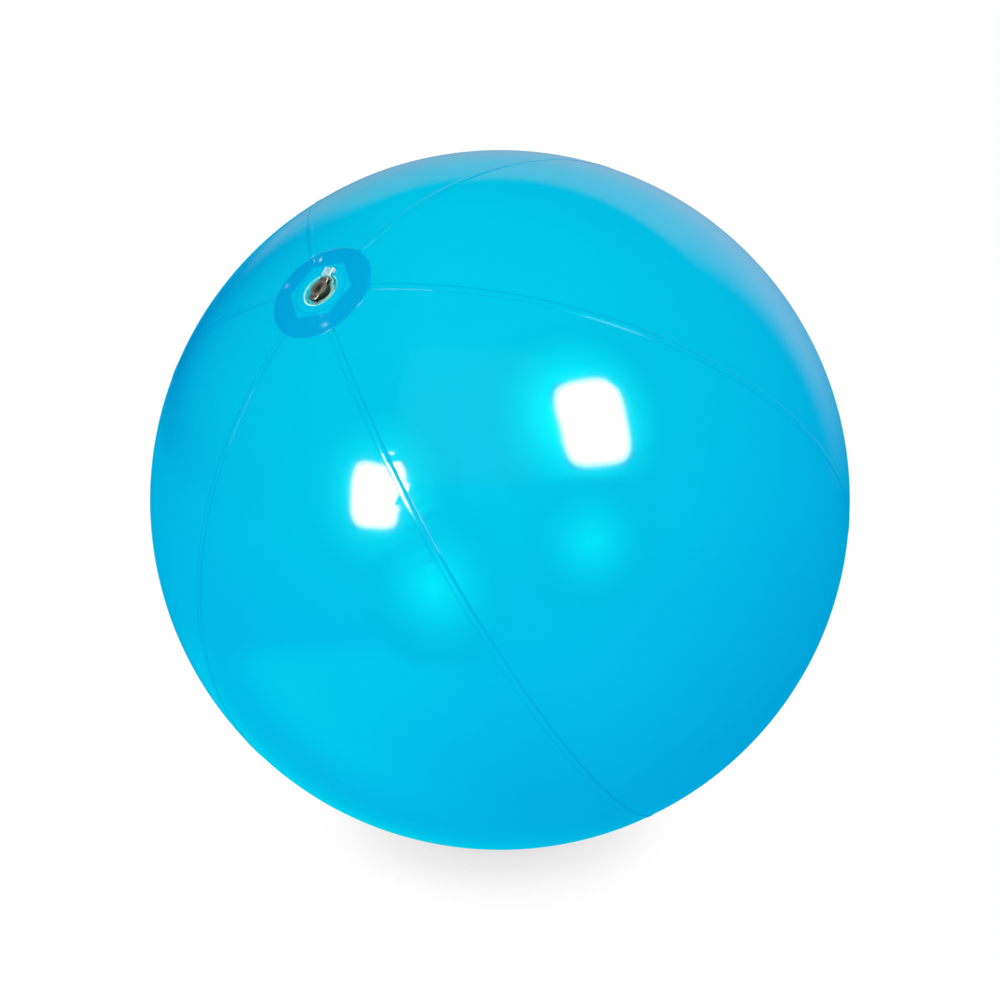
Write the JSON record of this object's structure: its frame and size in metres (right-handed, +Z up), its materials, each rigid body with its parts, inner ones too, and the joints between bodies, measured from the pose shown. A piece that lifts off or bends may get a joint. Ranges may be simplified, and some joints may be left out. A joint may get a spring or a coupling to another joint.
{
  "type": "inflatable beach ball",
  "caption": "Inflatable beach ball of welded translucent film gores with cover discs, a push-in inflation valve, tethered plug and one-way flap.",
  "frame": {"origin": "point where the inflated ball touches the ground, under its centre", "axes": "+Z up; the valve pole is tipped 50 degrees from +Z towards -Y, so -Y is the side the valve faces"},
  "size_m": [0.36, 0.36, 0.36],
  "materials": {
    "film": "translucent cyan-blue soft PVC film",
    "clear_valve": "clear soft PVC moulding",
    "plug": "black satin moulded plastic"
  },
  "bodies": {
    "ball": {"gore_panel_1": "film", "gore_panel_2": "film", "gore_panel_3": "film", "gore_panel_4": "film", "gore_panel_5": "film", "gore_panel_6": "film", "valve_disc": "film", "base_disc": "film", "valve_flange": "clear_valve", "valve_diaphragm": "clear_valve", "plug_strap": "clear_valve"},
    "stem": {"valve_stem": "clear_valve"},
    "plug": {"valve_plug": "plug"},
    "flap": {"check_flap": "clear_valve"}
  },
  "joints": [
    {"name": "stem_push", "type": "slide", "parent": "ball", "child": "stem", "axis": [0, -0.766, 0.6428], "range_m": [0, 0.008], "deforming": ["valve_diaphragm", "plug_strap"]},
    {"name": "plug_pull", "type": "slide", "parent": "stem", "child": "plug", "axis": [0, -0.766, 0.6428], "range_m": [0, 0.008], "deforming": ["plug_strap"]},
    {"name": "flap_swing", "type": "hinge", "parent": "stem", "child": "flap", "pos_m": [0.0042, -0.12739, 0.2869], "axis": [0, -0.6428, -0.766], "range_deg": [0, 65], "stiffness_Nm_per_rad": 0.0002}
  ]
}
